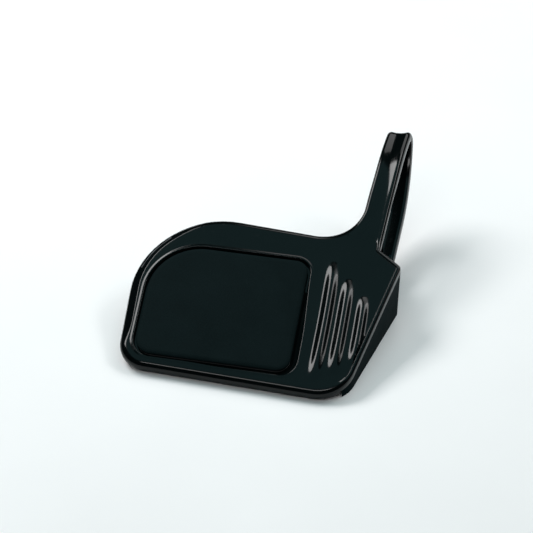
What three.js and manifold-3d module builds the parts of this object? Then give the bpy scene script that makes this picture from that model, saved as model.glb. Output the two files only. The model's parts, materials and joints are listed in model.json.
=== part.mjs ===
// Kick paddle: a padded blade with a looped hand guard and a standing heel.
// Everything is drawn in the plane of the blade's face (u to the right, v up the slope, w out of the
// face, origin at the middle of the strike pad) and then leaned back onto its heel, +Z up, in mm.
import * as THREE from "three";
import { mergeVertices } from "three/addons/utils/BufferGeometryUtils.js";
import Module from "manifold-3d";

const wasm = await Module();
wasm.setup();

// ---- sizes -------------------------------------------------------------------------------------
const LEAN = 19; // degrees the face leans back when the paddle stands on its heel
const GAP = 0.3; // clearance left between neighbouring pieces
const FAR = 400; // beyond every piece, for regions that are open to one side
const WALL = 2.6; // thickness of the moulded skins
const SPLIT = -8; // level of the seam between front and back skins
const EDGE = [4, 5]; // rounding of the front rim: width, depth

// corners of the face outline: u, v, corner radius
const TOP_LEFT = [-105.4, 123.6, 90.5];
const NECK = [124.3, 100.8, 43];
const LOOP_LEFT = [137.5, 262, 6];
const LOOP_RIGHT = [163, 262, 6];
const KINK = [149, 92, 3];
const RIGHT = [172, 74, 4.6];
const LOW_RIGHT = [131.5, -83, 38];
const LOW_LEFT = [-95.7, -68.8, 30];
const OUTLINE = [TOP_LEFT, NECK, LOOP_LEFT, LOOP_RIGHT, KINK, RIGHT, LOW_RIGHT, LOW_LEFT];
// the left part of the outline closed far outside, for the pieces left of the loop and the corner
const WIDE = [TOP_LEFT, NECK, [137.5, 262, 25], [220.5, 262, 25], LOW_RIGHT, LOW_LEFT];

const PAD = [[-82, 75, 52], [79, 69, 14], [76, -60, 14], [-80, -55, 18]];
const PAD_TOP = 1.5; // the pad stands this far proud of the face
const PAD_SHEET = 3.5;
const PAD_GROOVE = 2.2; // open channel round the pad
const TRAY = [-7.5, -10]; // top and underside of the tray floor under the pad

const BLADE_END = 90; // the flexing strip runs between these two lines
const FLEX_END = 129.5;
const FLEX = [[BLADE_END, -120], [FLEX_END, -120], [FLEX_END, 72], [117, 98], [117, 150], [BLADE_END, 150]];
const GRIP = [[FLEX_END, -120], [240, -120], [240, 300], [117, 300], [117, 98], [FLEX_END, 72]];

const FLUTES = [ // middle u, v, half length, half width
  [104.5, 3.5, 57, 7.5],
  [121, -1, 48, 6],
  [140, -2.5, 33, 4.6],
];
const FLUTE_RISE = 3.8;

const SCREW_BOSS = 5; // radii of a closing screw's boss, pocket and hole
const SCREW_POCKET = 3.9;
const SCREW_HOLE = 2.2;
const SCREW_END = -5; // level of a closing screw's tip
const FOAM_EDGE = 45; // the top foam lies above this line

const BACK_EDGE = [6, 5.7]; // rounding of the back rim
const BACK_RIM = -14;
const BACK_DOME = [20, 6]; // the back swells by 6 over 20
const DOME = [TOP_LEFT, [160, 97.3, 31], [160, -84.8, 31], LOW_LEFT];
const FLEX_BACK = -16.5;
const FLEX_GROOVES = [97, 104, 111, 118]; // u of the bending grooves in the back
const FLEX_GROOVE = [-62, 70, 2, 1]; // v of their ends, width, depth
const BACK_FOAM = [[-66, 76, 44], [56, 74, 12], [56, -44, 12], [-64, -36, 16]];
const BACK_FOAM_BOTTOM = -17.1;

const PLATE = [-10.3, -12.8]; // stiffening board, top and underside
const LEAF = [-13.1, -14.3]; // spring leaf across the flexing strip
const LEAF_BOX = [62, 143, -26, 32];
const RIVETS = [[68, -18], [68, -4], [68, 10], [68, 24]];
const LEAF_SCREWS = [[138, -14], [138, 20]];

const LOOP_BASE = [135.3, 95]; // foot of the loop's centre line on the face
const LOOP_LEAN = 4.7; // degrees the loop leans to the right
const LOOP_TWIST = 10; // degrees the loop turns about its own length
const LOOP_WIDTH = 26;
const LOOP_THICK = 11;
const LOOP_PATH = [[98, 0], [230, 14], [14, 126], [140, 40], [55, 0]]; // length or radius, turn
const LOOP_SEAM = 90; // heading at which the front strand ends and the grip begins
const CORE_INSET = 4.5;
const CORE_THICK = 2;
const CORE_WIDTH = 14;
const STRAP_START = 142; // v at which the face gives way to the strap

const HEEL_BACK = [[119, 86, 7], [160, 86, 7], [160, 112, 7], [119, 112, 7]];
const HEEL_NOTCH = [149, 92.6, -45]; // u, v and w limits of the open corner beside the loop
const LEAF_BED = 20; // length of the slot that lets the leaf into the heel
const BLOCK_BOX = [134, -26, 106]; // u start, v start and v end of the heel block
const FOOT_THICK = 3;
const FOOT_SCREWS = [[146, -8], [155, 30], [148, 72], [139, 96]];

const BACK_SCREWS = [[-92.3, 5, -13.4], [-66, 88, -15], [5, 97, -16.6], [70, 93, -16.4]]; // u, v, level

// ---- frame -------------------------------------------------------------------------------------
const restEdge = new THREE.Vector3(
  LOW_RIGHT[0] - LOW_LEFT[0],
  LOW_RIGHT[1] - LOW_LEFT[1],
  0,
).normalize();
const stand = new THREE.Matrix4().makeRotationAxis(restEdge, THREE.MathUtils.degToRad(LEAN));
const unstand = stand.clone().invert();
const inward = new THREE.Vector3(-restEdge.y, restEdge.x, 0);
const ground = new THREE.Vector3(LOW_LEFT[0], LOW_LEFT[1], BACK_RIM)
  .addScaledVector(inward, BACK_EDGE[0])
  .applyMatrix4(stand).z;

// ---- drawing -----------------------------------------------------------------------------------
// Points of a polygon whose corners [x, y, r] are rounded by arcs.
function rounded(corners, step = 18) {
  const points = [];
  corners.forEach(([x, y, r], i) => {
    const here = new THREE.Vector2(x, y);
    const [ax, ay] = corners.at(i - 1);
    const [bx, by] = corners[(i + 1) % corners.length];
    const back = new THREE.Vector2(ax, ay).sub(here).normalize();
    const on = new THREE.Vector2(bx, by).sub(here).normalize();
    if (!r) {
      points.push(here);
      return;
    }
    const half = Math.acos(back.dot(on)) / 2;
    const middle = back.clone().add(on).normalize();
    const centre = here.clone().addScaledVector(middle, r / Math.sin(half));
    const first = here.clone().addScaledVector(back, r / Math.tan(half)).sub(centre);
    const last = here.clone().addScaledVector(on, r / Math.tan(half)).sub(centre);
    const turn = Math.atan2(first.cross(last), first.dot(last));
    const count = Math.max(2, Math.ceil(THREE.MathUtils.radToDeg(Math.abs(turn)) / step));
    for (let k = 0; k <= count; k++) {
      const spoke = first.clone().rotateAround(new THREE.Vector2(), (turn * k) / count);
      points.push(spoke.add(centre));
    }
  });
  return points;
}

// The same polygon moved inwards by a distance (outwards when it is negative).
function inset(points, distance) {
  const side = THREE.ShapeUtils.isClockWise(points) ? -1 : 1;
  return points.map((p, i) => {
    const a = p.clone().sub(points.at(i - 1)).normalize();
    const b = points[(i + 1) % points.length].clone().sub(p).normalize();
    const normal = new THREE.Vector2(-a.y - b.y, a.x + b.x).normalize();
    const stretch = normal.dot(new THREE.Vector2(-a.y, a.x));
    return p.clone().addScaledVector(normal, (side * distance) / stretch);
  });
}

// A three.js geometry as a solid.
function solid(geometry) {
  const bare = geometry.clone();
  bare.deleteAttribute("normal");
  bare.deleteAttribute("uv");
  const merged = mergeVertices(bare, 1e-4);
  return new wasm.Manifold(
    new wasm.Mesh({
      numProp: 3,
      vertProperties: merged.attributes.position.array,
      triVerts: new Uint32Array(merged.index.array),
    }),
  );
}

function prism(points, low, high) {
  const geometry = new THREE.ExtrudeGeometry(new THREE.Shape(points), {
    depth: high - low,
    bevelEnabled: false,
  });
  return solid(geometry.translate(0, 0, low));
}

// A prism whose two ends are rounded off by [width, depth].
function pillow(points, low, high, [width, depth], segments = 3) {
  const geometry = new THREE.ExtrudeGeometry(new THREE.Shape(points), {
    depth: high - low - 2 * depth,
    bevelThickness: depth,
    bevelSize: width,
    bevelOffset: -width,
    bevelSegments: segments,
  });
  return solid(geometry.translate(0, 0, low + depth));
}

function box(u0, u1, v0, v1, w0, w1) {
  const geometry = new THREE.BoxGeometry(u1 - u0, v1 - v0, w1 - w0);
  return solid(geometry.translate((u0 + u1) / 2, (v0 + v1) / 2, (w0 + w1) / 2));
}

function pin(u, v, low, high, radius, sides = 16) {
  const geometry = new THREE.CylinderGeometry(radius, radius, high - low, sides);
  return solid(geometry.rotateX(Math.PI / 2).translate(u, v, (low + high) / 2));
}

function keep(shape, region) {
  return shape.intersect(region);
}

// The space of one length of the paddle, shrunk by half the running gap.
function region(points) {
  return prism(inset(points.map(([x, y]) => new THREE.Vector2(x, y)), GAP / 2), -120, 60);
}

// Solids drawn upright on the ground, brought back into the blade's own frame.
function upright(shape) {
  return shape.transform(unstand.elements);
}

function aboveGround(clear) {
  return upright(box(-FAR, FAR, -FAR, FAR, ground + clear, ground + FAR));
}

// Points of an outline at one level, seen from straight above.
function plan(points, level) {
  return points.map(({ x, y }) => {
    const p = new THREE.Vector3(x, y, level).applyMatrix4(stand);
    return new THREE.Vector2(p.x, p.y);
  });
}

function screw(u, v, low, high, head, headDepth, shank, up) {
  const cap = up ? pin(u, v, high - headDepth, high, head) : pin(u, v, low, low + headDepth, head);
  return cap.add(pin(u, v, low, high, shank, 16));
}

// ---- regions -----------------------------------------------------------------------------------
const bladeSide = box(-FAR, BLADE_END - GAP / 2, -FAR, FAR, -FAR, FAR);
const flexSide = region(FLEX);
const gripSide = region(GRIP);
const padEdge = rounded(PAD);
const faceEdge = rounded(OUTLINE);
const wideEdge = rounded(WIDE);

function frontPan(edge) {
  const slab = pillow(edge, 2 * SPLIT, 0, EDGE);
  const hollow = prism(inset(edge, WALL), -FAR, -WALL);
  return slab.subtract(hollow).subtract(box(-FAR, FAR, -FAR, FAR, -FAR, SPLIT));
}

// A raised flute: the top half of a long thin ellipsoid.
function flute([u, v, length, width]) {
  const geometry = new THREE.SphereGeometry(1, 16, 8);
  geometry.scale(width, length, FLUTE_RISE).translate(u, v, 0);
  return keep(solid(geometry), box(-FAR, FAR, -FAR, FAR, -1, FAR));
}

// ---- blade -------------------------------------------------------------------------------------
function bladeFrontSkin() {
  let skin = keep(frontPan(wideEdge), bladeSide);
  skin = skin.add(prism(inset(padEdge, -PAD_GROOVE - 2.5), TRAY[1], -1));
  skin = skin.subtract(prism(inset(padEdge, -PAD_GROOVE), TRAY[0], 10));
  for (const [u, v] of BACK_SCREWS) {
    skin = skin.add(pin(u, v, SPLIT, -2, SCREW_BOSS - 1));
    skin = skin.subtract(pin(u, v, -FAR, SCREW_END + 0.5, SCREW_HOLE - 0.2));
  }
  return skin;
}

function strikePad() {
  const sheet = pillow(padEdge, PAD_TOP - 2 * PAD_SHEET, PAD_TOP, [3, 1.6]);
  return keep(sheet, box(-FAR, FAR, -FAR, FAR, PAD_TOP - PAD_SHEET, FAR));
}

function padFoam() {
  return prism(inset(padEdge, 0.5), TRAY[0] + GAP, PAD_TOP - PAD_SHEET - GAP);
}

function topFoam() {
  let foam = prism(inset(wideEdge, WALL + 1), SPLIT + GAP, -WALL - GAP);
  foam = foam.subtract(prism(inset(padEdge, -PAD_GROOVE - 3), -FAR, FAR));
  foam = keep(foam, box(-FAR, BLADE_END - 2, FOAM_EDGE, FAR, -FAR, FAR));
  for (const [u, v] of BACK_SCREWS) {
    foam = foam.subtract(pin(u, v, -FAR, FAR, SCREW_BOSS - 0.5));
  }
  return foam;
}

function corePlate() {
  let plate = prism(inset(padEdge, 0.5), PLATE[1], PLATE[0]);
  for (const [u, v] of RIVETS) {
    plate = plate.subtract(pin(u, v, -FAR, FAR, SCREW_HOLE));
  }
  return plate;
}

function backFoam() {
  return prism(rounded(BACK_FOAM), BACK_FOAM_BOTTOM, PLATE[1] - GAP);
}

function backBowl(grow, low) {
  const rim = pillow(inset(wideEdge, grow), BACK_RIM + low, 20, BACK_EDGE);
  const edge = inset(rounded(DOME, 10), BACK_EDGE[0] + grow);
  const [wide, deep] = BACK_DOME;
  const dome = pillow(edge, BACK_RIM - deep + low, 20, [wide, deep], 1);
  return rim.add(keep(dome, box(-FAR, FAR, -FAR, FAR, -FAR, BACK_RIM + low)));
}

function bladeBackSkin() {
  const under = box(-FAR, FAR, -FAR, FAR, -FAR, SPLIT - GAP);
  let skin = backBowl(0, 0).subtract(backBowl(WALL, 2.5));
  skin = keep(keep(skin, under), bladeSide);
  for (const [u, v, level] of BACK_SCREWS) {
    skin = skin.add(keep(pin(u, v, -FAR, SPLIT - GAP, SCREW_BOSS), backBowl(0, 0)));
    skin = skin.subtract(pin(u, v, -FAR, level + 2, SCREW_POCKET));
    skin = skin.subtract(pin(u, v, -FAR, 0, SCREW_HOLE));
  }
  return skin;
}

function backScrew([u, v, level]) {
  return screw(u, v, level, SCREW_END, 3.5, 1.7, 1.7, false);
}

// ---- flexing strip -----------------------------------------------------------------------------
function flexFrontSkin() {
  let skin = frontPan(wideEdge).add(flute(FLUTES[0])).add(flute(FLUTES[1]));
  skin = keep(skin, flexSide);
  return skin;
}

function flexBackSkin() {
  const under = box(-FAR, FAR, -FAR, FAR, FLEX_BACK, SPLIT - GAP);
  const lower = pillow(inset(wideEdge, BACK_EDGE[0]), FLEX_BACK, 20, [8, 2.5], 1);
  const bowl = pillow(wideEdge, BACK_RIM, 20, BACK_EDGE).add(lower);
  let skin = bowl.subtract(prism(inset(wideEdge, WALL + 6), LEAF[1] - GAP, 30));
  skin = skin.subtract(prism(inset(wideEdge, WALL), -11.5, 30));
  skin = keep(keep(keep(skin, under), flexSide), aboveGround(0.8));
  const [v0, v1, wide, deep] = FLEX_GROOVE;
  for (const u of FLEX_GROOVES) {
    skin = skin.subtract(box(u - wide / 2, u + wide / 2, v0, v1, -FAR, FLEX_BACK + deep));
  }
  return skin;
}

function springLeaf() {
  const [u0, u1, v0, v1] = LEAF_BOX;
  let leaf = prism(rounded([[u0, v0, 5], [u1, v0, 5], [u1, v1, 5], [u0, v1, 5]]), LEAF[1], LEAF[0]);
  for (const [u, v] of [...RIVETS, ...LEAF_SCREWS]) {
    leaf = leaf.subtract(pin(u, v, -FAR, 0, SCREW_HOLE));
  }
  return leaf;
}

function rivet([u, v]) {
  return screw(u, v, -16, PLATE[0] - GAP, 3.4, 16 + LEAF[1] - GAP, 1.8, false);
}

// ---- loop --------------------------------------------------------------------------------------
// The loop's centre plane: s along the strand, q away from the face.
function loopPath(inner, from, to) {
  let [s, q, heading] = [from, 0, 0];
  const points = [];
  const put = () => {
    const t = THREE.MathUtils.degToRad(heading);
    points.push({ x: s - inner * Math.sin(t), y: q + inner * Math.cos(t), heading });
  };
  put();
  LOOP_PATH.forEach(([size, turn], i) => {
    const last = i === LOOP_PATH.length - 1;
    const run = i === 0 ? size - from : last ? size - to : size;
    const count = turn ? Math.max(2, Math.round(Math.abs(turn) / 12)) : 1;
    for (let k = 0; k < count; k++) {
      const half = turn / count / 2;
      const chord = turn ? 2 * size * Math.sin(THREE.MathUtils.degToRad(half)) : run;
      const t = THREE.MathUtils.degToRad(heading + half);
      s += chord * Math.cos(t);
      q += chord * Math.sin(t);
      heading += 2 * half;
      put();
    }
  });
  return points;
}

const lean = THREE.MathUtils.degToRad(LOOP_LEAN);
const twist = THREE.MathUtils.degToRad(LOOP_TWIST);
const along = new THREE.Vector3(Math.sin(lean), Math.cos(lean), 0);
const across = new THREE.Vector3(Math.cos(lean), -Math.sin(lean), 0);
const behind = across.clone().multiplyScalar(Math.sin(twist)).setZ(-Math.cos(twist));
const sideways = new THREE.Vector3().crossVectors(along, behind);
const loopFrame = new THREE.Matrix4()
  .makeBasis(along, behind, sideways)
  .setPosition(LOOP_BASE[0], LOOP_BASE[1], 0);

// A strap that follows the loop, between two depths below its outer face.
function strap(near, far, width, edge, from, to) {
  const outer = loopPath(near, from, to);
  const inner = loopPath(far, from, to);
  const points = [...outer, ...inner.reverse()].map(({ x, y }) => new THREE.Vector2(x, y));
  const shape = edge
    ? pillow(points, -width / 2, width / 2, [edge, edge], 2)
    : prism(points, -width / 2, width / 2);
  return shape.transform(loopFrame.elements);
}

function coreSlot(clear) {
  return strap(CORE_INSET - clear, CORE_INSET + CORE_THICK + clear, CORE_WIDTH + 2 * clear, 0, -6, -10);
}

function loopHalf(front) {
  const seam = loopPath(0, 0, 0).find((p) => p.heading >= LOOP_SEAM);
  const [q0, q1] = front ? [-60, seam.y - GAP / 2] : [seam.y + GAP / 2, 200];
  return box(60, 300, q0, q1, -60, 60)
    .add(front ? box(-60, 60, -60, 30, -60, 60) : box(-60, 60, 32, 200, -60, 60))
    .transform(loopFrame.elements);
}

const loopStrap = strap(0, LOOP_THICK, LOOP_WIDTH, 3, 4, 0);

function gripFrontSkin() {
  const slab = pillow(faceEdge, SPLIT - 12, 0, EDGE);
  const hollow = keep(
    prism(inset(faceEdge, WALL), SPLIT - 20, -WALL),
    box(-FAR, FAR, -FAR, 97, -FAR, FAR),
  );
  let skin = slab.subtract(hollow);
  skin = keep(skin, box(-FAR, FAR, -FAR, STRAP_START, SPLIT, FAR));
  skin = skin.add(keep(loopStrap, loopHalf(true)));
  skin = skin.add(flute(FLUTES[2]));
  return keep(skin, gripSide).subtract(coreSlot(GAP));
}

function rearGrip() {
  const strand = keep(loopStrap, loopHalf(false));
  const above = HEEL_BACK[2][1] + GAP;
  return keep(strand, box(0, FAR, above, FAR, -FAR, FAR)).subtract(coreSlot(GAP));
}

function loopCore() {
  return coreSlot(0);
}

// ---- heel --------------------------------------------------------------------------------------
function heelForm(wall, low) {
  const rim = plan(inset(faceEdge, wall), SPLIT);
  const tall = upright(prism(rim, ground + low, ground + FAR));
  const side = keep(tall, box(FLEX_END + GAP / 2 + wall, FAR, -FAR, 99, -120, 60));
  const back = prism(inset(rounded(HEEL_BACK), wall), -120, 60);
  return keep(side.add(back), aboveGround(low));
}

function heelShell() {
  let shell = heelForm(0, 0).subtract(heelForm(WALL, -5));
  shell = keep(shell, box(-FAR, FAR, -FAR, FAR, -FAR, SPLIT - GAP));
  shell = shell.subtract(box(-FAR, FAR, LOOP_BASE[1], FAR, -LOOP_THICK - 2.7, FAR));
  const slot = [FLEX_END - 9.5, FLEX_END - 9.5 + LEAF_BED];
  shell = shell.subtract(box(...slot, LEAF_BOX[2] - 1, LEAF_BOX[3] + 1, LEAF[1] - GAP, 0));
  shell = shell.subtract(box(HEEL_NOTCH[0], FAR, HEEL_NOTCH[1], FAR, HEEL_NOTCH[2], FAR));
  return keep(shell, gripSide).subtract(coreSlot(GAP));
}

function footPlate() {
  let plate = keep(heelForm(WALL + GAP, 0), gripSide);
  plate = plate.subtract(aboveGround(FOOT_THICK));
  for (const [u, v] of FOOT_SCREWS) {
    plate = plate.subtract(uprightPin(u, v, -1, 20, 2.4)).subtract(uprightPin(u, v, -1, 2, 4.2));
  }
  return plate;
}

// A pin standing on the ground below a point of the seam level.
function uprightPin(u, v, low, high, radius) {
  const [p] = plan([new THREE.Vector2(u, v)], -40);
  return upright(pin(p.x, p.y, ground + low, ground + high, radius, 18));
}

function heelBlock() {
  let block = keep(heelForm(WALL + 1, FOOT_THICK + GAP), gripSide);
  const [u0, v0, v1] = BLOCK_BOX;
  block = keep(block, box(u0, FAR, v0, v1, -FAR, LEAF[1] - GAP));
  block = block.subtract(box(0, FAR, 88, FAR, -50, FAR)).subtract(coreSlot(GAP));
  for (const [u, v] of FOOT_SCREWS) {
    block = block.subtract(uprightPin(u, v, -1, 17, SCREW_HOLE));
  }
  for (const [u, v] of LEAF_SCREWS) {
    block = block.subtract(pin(u, v, -25, 0, SCREW_HOLE));
  }
  return block;
}

function footScrew([u, v]) {
  return uprightPin(u, v, 0.4, 1.7, 3.8).add(uprightPin(u, v, 0.4, 15, 1.8));
}

function leafScrew([u, v]) {
  return screw(u, v, -23, LEAF[0] + GAP + 2, 3.6, 2, 1.8, true);
}

// ---- assembly ----------------------------------------------------------------------------------
const finish = (color, roughness, metalness) =>
  new THREE.MeshStandardMaterial({ color, roughness, metalness });
const moulded = finish(0x141c1d, 0.25, 0);
const cloth = finish(0x202526, 0.75, 0);
const foam = finish(0x4a4c4e, 0.95, 0);
const board = finish(0x9c8052, 0.8, 0);
const nylon = finish(0x2b2d2f, 0.6, 0);
const steel = finish(0x8e9296, 0.35, 1);
const zinc = finish(0xa8abad, 0.4, 1);

const group = new THREE.Group();

function place(name, shape, material) {
  const { numProp, vertProperties, triVerts } = shape.getMesh();
  const buffer = new THREE.InterleavedBuffer(new Float32Array(vertProperties), numProp);
  const geometry = new THREE.BufferGeometry();
  geometry.setAttribute("position", new THREE.InterleavedBufferAttribute(buffer, 3, 0));
  geometry.setIndex(new THREE.BufferAttribute(triVerts, 1));
  const mesh = new THREE.Mesh(geometry.toNonIndexed(), material);
  mesh.geometry.computeVertexNormals();
  mesh.name = name;
  group.add(mesh);
}

place("blade_front_skin", bladeFrontSkin(), moulded);
place("strike_pad", strikePad(), cloth);
place("pad_foam", padFoam(), foam);
place("top_foam", topFoam(), foam);
place("core_plate", corePlate(), board);
place("back_foam", backFoam(), foam);
place("blade_back_skin", bladeBackSkin(), moulded);
place("flex_front_skin", flexFrontSkin(), moulded);
place("flex_back_skin", flexBackSkin(), moulded);
place("spring_leaf", springLeaf(), steel);
place("grip_front_skin", gripFrontSkin(), moulded);
place("rear_grip", rearGrip(), moulded);
place("loop_core", loopCore(), steel);
place("heel_shell", heelShell(), moulded);
place("heel_block", heelBlock(), nylon);
place("foot_plate", footPlate(), nylon);
BACK_SCREWS.forEach((at, i) => place(`back_screw_${i + 1}`, backScrew(at), zinc));
FOOT_SCREWS.forEach((at, i) => place(`foot_screw_${i + 1}`, footScrew(at), zinc));
LEAF_SCREWS.forEach((at, i) => place(`leaf_screw_${i + 1}`, leafScrew(at), zinc));
RIVETS.forEach((at, i) => place(`leaf_rivet_${i + 1}`, rivet(at), zinc));

// lean the paddle onto its heel and bring the middle of its underside to the origin
group.applyMatrix4(stand);
group.updateMatrixWorld(true);
const bounds = new THREE.Box3().setFromObject(group, true);
const centre = bounds.getCenter(new THREE.Vector3());
group.position.set(-centre.x, -centre.y, -bounds.min.z);

export default group;
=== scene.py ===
"""Kick paddle: the moulded skins, strike pad, loop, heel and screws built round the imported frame."""

from __future__ import annotations

import json
import logging
import math
from dataclasses import dataclass, field
from enum import Enum
from typing import Callable, Sequence

import bmesh
import bpy
import numpy as np
from mathutils import Matrix, Vector
from mathutils.geometry import delaunay_2d_cdt


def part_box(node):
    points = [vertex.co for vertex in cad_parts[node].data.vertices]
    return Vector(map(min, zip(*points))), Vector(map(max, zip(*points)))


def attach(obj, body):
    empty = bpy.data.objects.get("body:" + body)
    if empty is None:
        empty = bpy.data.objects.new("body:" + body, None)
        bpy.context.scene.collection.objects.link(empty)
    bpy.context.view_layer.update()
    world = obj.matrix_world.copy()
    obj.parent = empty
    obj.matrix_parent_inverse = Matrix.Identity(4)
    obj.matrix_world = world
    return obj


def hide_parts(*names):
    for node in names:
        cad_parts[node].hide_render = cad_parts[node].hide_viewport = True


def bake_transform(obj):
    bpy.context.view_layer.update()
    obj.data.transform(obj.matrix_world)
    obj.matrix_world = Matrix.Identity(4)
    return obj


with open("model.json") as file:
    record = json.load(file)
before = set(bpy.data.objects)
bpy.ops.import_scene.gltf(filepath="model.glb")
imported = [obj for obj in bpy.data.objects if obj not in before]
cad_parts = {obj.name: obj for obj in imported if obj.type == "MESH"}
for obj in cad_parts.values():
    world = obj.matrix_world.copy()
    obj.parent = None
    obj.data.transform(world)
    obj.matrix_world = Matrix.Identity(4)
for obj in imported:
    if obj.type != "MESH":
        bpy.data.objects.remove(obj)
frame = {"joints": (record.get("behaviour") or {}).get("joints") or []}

LOG = logging.getLogger("kick_paddle")
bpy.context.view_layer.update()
MM = 0.001

Point2 = tuple[float, float]
Point3 = tuple[float, float, float]
Corner = tuple[float, float, float]
Height = Callable[[float, float], float]


class Side(Enum):
    """The two rigid bodies of the paddle."""

    GRIP = "grip"
    BLADE = "blade"


class RimStyle(Enum):
    """How the edge of the front face is moulded: (distance in from the rim, height) in mm."""

    SOFT = (
        (0.0, -8.0), (0.0, -5.6), (0.4, -4.3), (1.1, -3.1), (2.2, -2.0),
        (3.4, -1.15), (4.7, -0.5), (6.1, -0.12), (7.5, 0.0),
    )
    WIDE = (
        (0.0, -8.0), (0.0, -6.6), (0.5, -5.5), (1.4, -4.6), (4.9, -2.7),
        (8.4, -0.75), (9.1, -0.3), (9.5, -0.08), (10.0, 0.0),
    )
    LIP = (
        (0.0, -8.0), (0.0, -1.4), (0.2, -0.2), (0.6, 0.35), (1.4, 0.8),
        (2.6, 1.15), (3.4, 1.25), (3.9, 0.9), (4.5, 0.0),
    )
    STRAP = (
        (0.0, -8.0), (0.0, -4.2), (0.3, -2.7), (0.9, -1.5), (1.8, -0.6),
        (2.9, -0.1), (4.1, 0.0), (5.2, -0.15), (6.3, -0.45),
    )


def smooth(value: float, low: float, high: float) -> float:
    """Smooth step of value from 0 at low to 1 at high."""
    t = min(1.0, max(0.0, (value - low) / (high - low)))
    return t * t * (3 - 2 * t)


@dataclass(frozen=True)
class LeanedFrame:
    """The blade's own plane (u right, v up the slope, w out of the face, mm) in the model's frame.

    Attributes:
        lean: degrees the face leans back.
        low_left: lower left corner of the face outline.
        low_right: lower right corner of the face outline.
        flex_pivot: the flexing hinge's point in the blade's plane.
    """

    lean: float = 19.0
    low_left: Point2 = (-95.7, -68.8)
    low_right: Point2 = (131.5, -83.0)
    flex_pivot: Point3 = (110.0, 0.0, -9.0)

    def turn(self) -> Matrix:
        """Rotation from the blade's plane to the model's frame."""
        edge = Vector((self.low_right[0] - self.low_left[0], self.low_right[1] - self.low_left[1], 0))
        return Matrix.Rotation(math.radians(self.lean), 4, edge.normalized())

    def matrix(self) -> Matrix:
        """Full transform from the blade's plane in mm to the model's frame in metres.

        Returns:
            The matrix.
        """
        turn = self.turn()
        pivot = Vector(frame["joints"][0]["pos_m"])
        shift = pivot - turn @ (Vector(self.flex_pivot) * MM)
        return Matrix.Translation(shift) @ turn @ Matrix.Scale(MM, 4)

    def place(self, point: Sequence[float]) -> Vector:
        """One point of the blade's plane, in the model's frame."""
        return self.matrix() @ Vector(point)


LEANED = LeanedFrame()


def rounded(corners: Sequence[Corner], closed: bool, span: float = 4.0, step: float = 6.0) -> np.ndarray:
    """Samples a path whose inner corners are rounded by arcs.

    Args:
        corners: x, y and radius of each corner.
        closed: whether the path joins its own start.
        span: longest straight step in mm.
        step: largest arc step in degrees.

    Returns:
        The points in order, one row each.
    """
    count = len(corners)
    points: list[Vector] = []
    for i, (x, y, radius) in enumerate(corners):
        here = Vector((x, y))
        if not closed and i in (0, count - 1):
            points.append(here)
            continue
        back = (Vector(corners[i - 1][:2]) - here).normalized()
        on = (Vector(corners[(i + 1) % count][:2]) - here).normalized()
        half = back.angle(on) / 2
        centre = here + (back + on).normalized() * (radius / math.sin(half))
        first = here + back * (radius / math.tan(half)) - centre
        last = here + on * (radius / math.tan(half)) - centre
        turn = math.atan2(first.x * last.y - first.y * last.x, first.dot(last))
        pieces = max(3, math.ceil(abs(math.degrees(turn)) / step))
        for k in range(pieces + 1):
            c, s = math.cos(turn * k / pieces), math.sin(turn * k / pieces)
            points.append(centre + Vector((first.x * c - first.y * s, first.x * s + first.y * c)))
    spaced: list[Vector] = []
    ends = points[1:] + points[:1] if closed else points[1:]
    for a, b in zip(points, ends):
        steps = max(1, math.ceil((b - a).length / span))
        spaced.extend(a.lerp(b, k / steps) for k in range(steps))
    if not closed:
        spaced.append(points[-1])
    return np.array([tuple(p) for p in spaced])


def inward(path: np.ndarray, closed: bool) -> np.ndarray:
    """Miter directions to the left of a path, one for each point.

    Args:
        path: points in order, anticlockwise round the material.
        closed: whether the path joins its own start.

    Returns:
        One vector a point; moving along it by d moves both neighbouring edges by d.
    """
    before = np.roll(path, 1, axis=0)
    after = np.roll(path, -1, axis=0)
    if not closed:
        before[0] = 2 * path[0] - path[1]
        after[-1] = 2 * path[-1] - path[-2]
    a = path - before
    b = after - path
    a /= np.linalg.norm(a, axis=1)[:, None]
    b /= np.linalg.norm(b, axis=1)[:, None]
    na = np.stack([-a[:, 1], a[:, 0]], axis=1)
    nb = np.stack([-b[:, 1], b[:, 0]], axis=1)
    middle = na + nb
    middle /= np.linalg.norm(middle, axis=1)[:, None]
    return middle / np.sum(middle * na, axis=1)[:, None]


def inside(point: Sequence[float], polygon: np.ndarray) -> bool:
    """Whether a point is inside a polygon.

    Args:
        point: its first two coordinates are used.
        polygon: a closed path.

    Returns:
        True when it is inside.
    """
    x, y = point[0], point[1]
    px, py = polygon[:, 0], polygon[:, 1]
    qx, qy = np.roll(px, -1), np.roll(py, -1)
    crosses = (py > y) != (qy > y)
    with np.errstate(divide="ignore", invalid="ignore"):
        at = (qx - px) * (y - py) / (qy - py) + px
    return bool(np.count_nonzero(crosses & (x < at)) % 2)


def distances(points: np.ndarray, polygon: np.ndarray) -> np.ndarray:
    """Distance of each point from the nearest corner point of a densely sampled polygon."""
    gaps = points[:, None, :] - polygon[None, :, :]
    return np.sqrt((gaps**2).sum(axis=2)).min(axis=1)


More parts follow.
